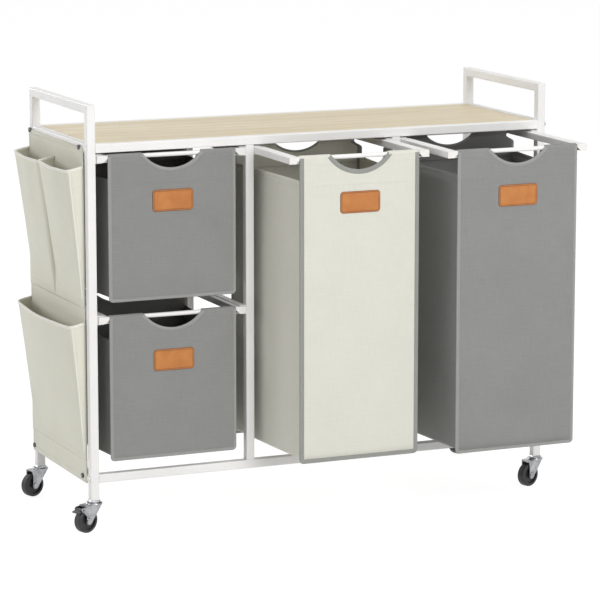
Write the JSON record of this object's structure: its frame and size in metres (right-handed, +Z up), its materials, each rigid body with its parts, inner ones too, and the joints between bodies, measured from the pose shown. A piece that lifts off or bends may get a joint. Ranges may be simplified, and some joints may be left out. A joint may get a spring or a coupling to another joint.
{
  "type": "laundry sorter on wheels",
  "caption": "Wheeled laundry sorter: white tube frame with wood shelf and end handles, pull-out fabric bags with hand scoops and leather patches, side pockets and swivel casters.",
  "frame": {"origin": "on the floor, under the middle of the object's box at rest, with the middle and right bags partly pulled out", "axes": "+X to the right as seen from the front, +Y to the back, +Z up"},
  "size_m": [1.086, 0.5866, 0.872],
  "materials": {
    "white_paint": "satin powder coat",
    "shelf_wood": "matt pale oak laminate",
    "white_plastic": "fine matt",
    "grey_fabric": "plain weave",
    "cream_fabric": "plain weave",
    "pocket_fabric": "plain weave",
    "leather": "smooth tan",
    "screw_steel": "dark zinc",
    "zinc_steel": "bright zinc plate",
    "wheel_rubber": "matt black"
  },
  "bodies": {
    "frame": {"front_left_post": "white_paint", "front_left_middle_post": "white_paint", "rear_left_post": "white_paint", "rear_left_middle_post": "white_paint", "left_handle": "white_paint", "left_top_rail": "white_paint", "left_bottom_rail": "white_paint", "front_right_post": "white_paint", "front_right_middle_post": "white_paint", "rear_right_post": "white_paint", "rear_right_middle_post": "white_paint", "right_handle": "white_paint", "right_top_rail": "white_paint", "right_bottom_rail": "white_paint", "front_top_rail": "white_paint", "front_bottom_rail": "white_paint", "rear_top_rail": "white_paint", "rear_bottom_rail": "white_paint", "shelf_board": "shelf_wood", "upper_left_runners": "white_paint", "lower_left_runners": "white_paint", "middle_runners": "white_paint", "right_runners": "white_paint", "pocket_panel": "pocket_fabric", "rear_upper_pocket": "pocket_fabric", "front_upper_pocket": "pocket_fabric", "lower_pocket": "pocket_fabric", "frame_bolts": "screw_steel", "panel_screws": "screw_steel", "caster_plugs": "zinc_steel"},
    "upper_left_unit": {"upper_left_hanger_frame": "white_paint", "upper_left_end_caps": "white_plastic", "upper_left_bag": "grey_fabric", "upper_left_patch": "leather"},
    "lower_left_unit": {"lower_left_hanger_frame": "white_paint", "lower_left_end_caps": "white_plastic", "lower_left_bag": "grey_fabric", "lower_left_patch": "leather"},
    "middle_unit": {"middle_hanger_frame": "white_paint", "middle_end_caps": "white_plastic", "middle_bag": "cream_fabric", "middle_patch": "leather"},
    "right_unit": {"right_hanger_frame": "white_paint", "right_end_caps": "white_plastic", "right_bag": "grey_fabric", "right_patch": "leather"},
    "front_left_caster": {"front_left_fork": "zinc_steel", "front_left_axle": "zinc_steel"},
    "front_left_wheel": {"front_left_wheel": "wheel_rubber"},
    "front_left_brake": {"front_left_pedal": "zinc_steel"},
    "front_right_caster": {"front_right_fork": "zinc_steel", "front_right_axle": "zinc_steel"},
    "front_right_wheel": {"front_right_wheel": "wheel_rubber"},
    "rear_left_caster": {"rear_left_fork": "zinc_steel", "rear_left_axle": "zinc_steel"},
    "rear_left_wheel": {"rear_left_wheel": "wheel_rubber"},
    "rear_right_caster": {"rear_right_fork": "zinc_steel", "rear_right_axle": "zinc_steel"},
    "rear_right_wheel": {"rear_right_wheel": "wheel_rubber"},
    "rear_right_brake": {"rear_right_pedal": "zinc_steel"}
  },
  "joints": [
    {"name": "upper_left_slide", "type": "slide", "parent": "frame", "child": "upper_left_unit", "axis": [0, -1, 0], "range_m": [0, 0.27]},
    {"name": "lower_left_slide", "type": "slide", "parent": "frame", "child": "lower_left_unit", "axis": [0, -1, 0], "range_m": [0, 0.27]},
    {"name": "middle_slide", "type": "slide", "parent": "frame", "child": "middle_unit", "axis": [0, -1, 0], "range_m": [-0.175, 0.095]},
    {"name": "right_slide", "type": "slide", "parent": "frame", "child": "right_unit", "axis": [0, -1, 0], "range_m": [-0.217, 0.053]},
    {"name": "front_left_swivel", "type": "hinge", "parent": "frame", "child": "front_left_caster", "pos_m": [-0.485, -0.0617, 0.065], "axis": [0, 0, 1], "continuous": true},
    {"name": "front_left_wheel_spin", "type": "hinge", "parent": "front_left_caster", "child": "front_left_wheel", "pos_m": [-0.50567, -0.06922, 0.025], "axis": [0.342, -0.9397, 0], "continuous": true},
    {"name": "front_left_brake_press", "type": "hinge", "parent": "front_left_caster", "child": "front_left_brake", "pos_m": [-0.5198, -0.07437, 0.05003], "axis": [0.342, -0.9397, 0], "range_deg": [0, 20]},
    {"name": "front_right_swivel", "type": "hinge", "parent": "frame", "child": "front_right_caster", "pos_m": [0.526, -0.0617, 0.065], "axis": [0, 0, 1], "continuous": true},
    {"name": "front_right_wheel_spin", "type": "hinge", "parent": "front_right_caster", "child": "front_right_wheel", "pos_m": [0.50533, -0.06922, 0.025], "axis": [0.342, -0.9397, 0], "continuous": true},
    {"name": "rear_left_swivel", "type": "hinge", "parent": "frame", "child": "rear_left_caster", "pos_m": [-0.485, 0.2763, 0.065], "axis": [0, 0, 1], "continuous": true},
    {"name": "rear_left_wheel_spin", "type": "hinge", "parent": "rear_left_caster", "child": "rear_left_wheel", "pos_m": [-0.50567, 0.26878, 0.025], "axis": [0.342, -0.9397, 0], "continuous": true},
    {"name": "rear_right_swivel", "type": "hinge", "parent": "frame", "child": "rear_right_caster", "pos_m": [0.526, 0.2763, 0.065], "axis": [0, 0, 1], "continuous": true},
    {"name": "rear_right_wheel_spin", "type": "hinge", "parent": "rear_right_caster", "child": "rear_right_wheel", "pos_m": [0.50533, 0.26878, 0.025], "axis": [0.342, -0.9397, 0], "continuous": true},
    {"name": "rear_right_brake_press", "type": "hinge", "parent": "rear_right_caster", "child": "rear_right_brake", "pos_m": [0.49119, 0.26363, 0.05003], "axis": [0.342, -0.9397, 0], "range_deg": [0, 20]}
  ]
}
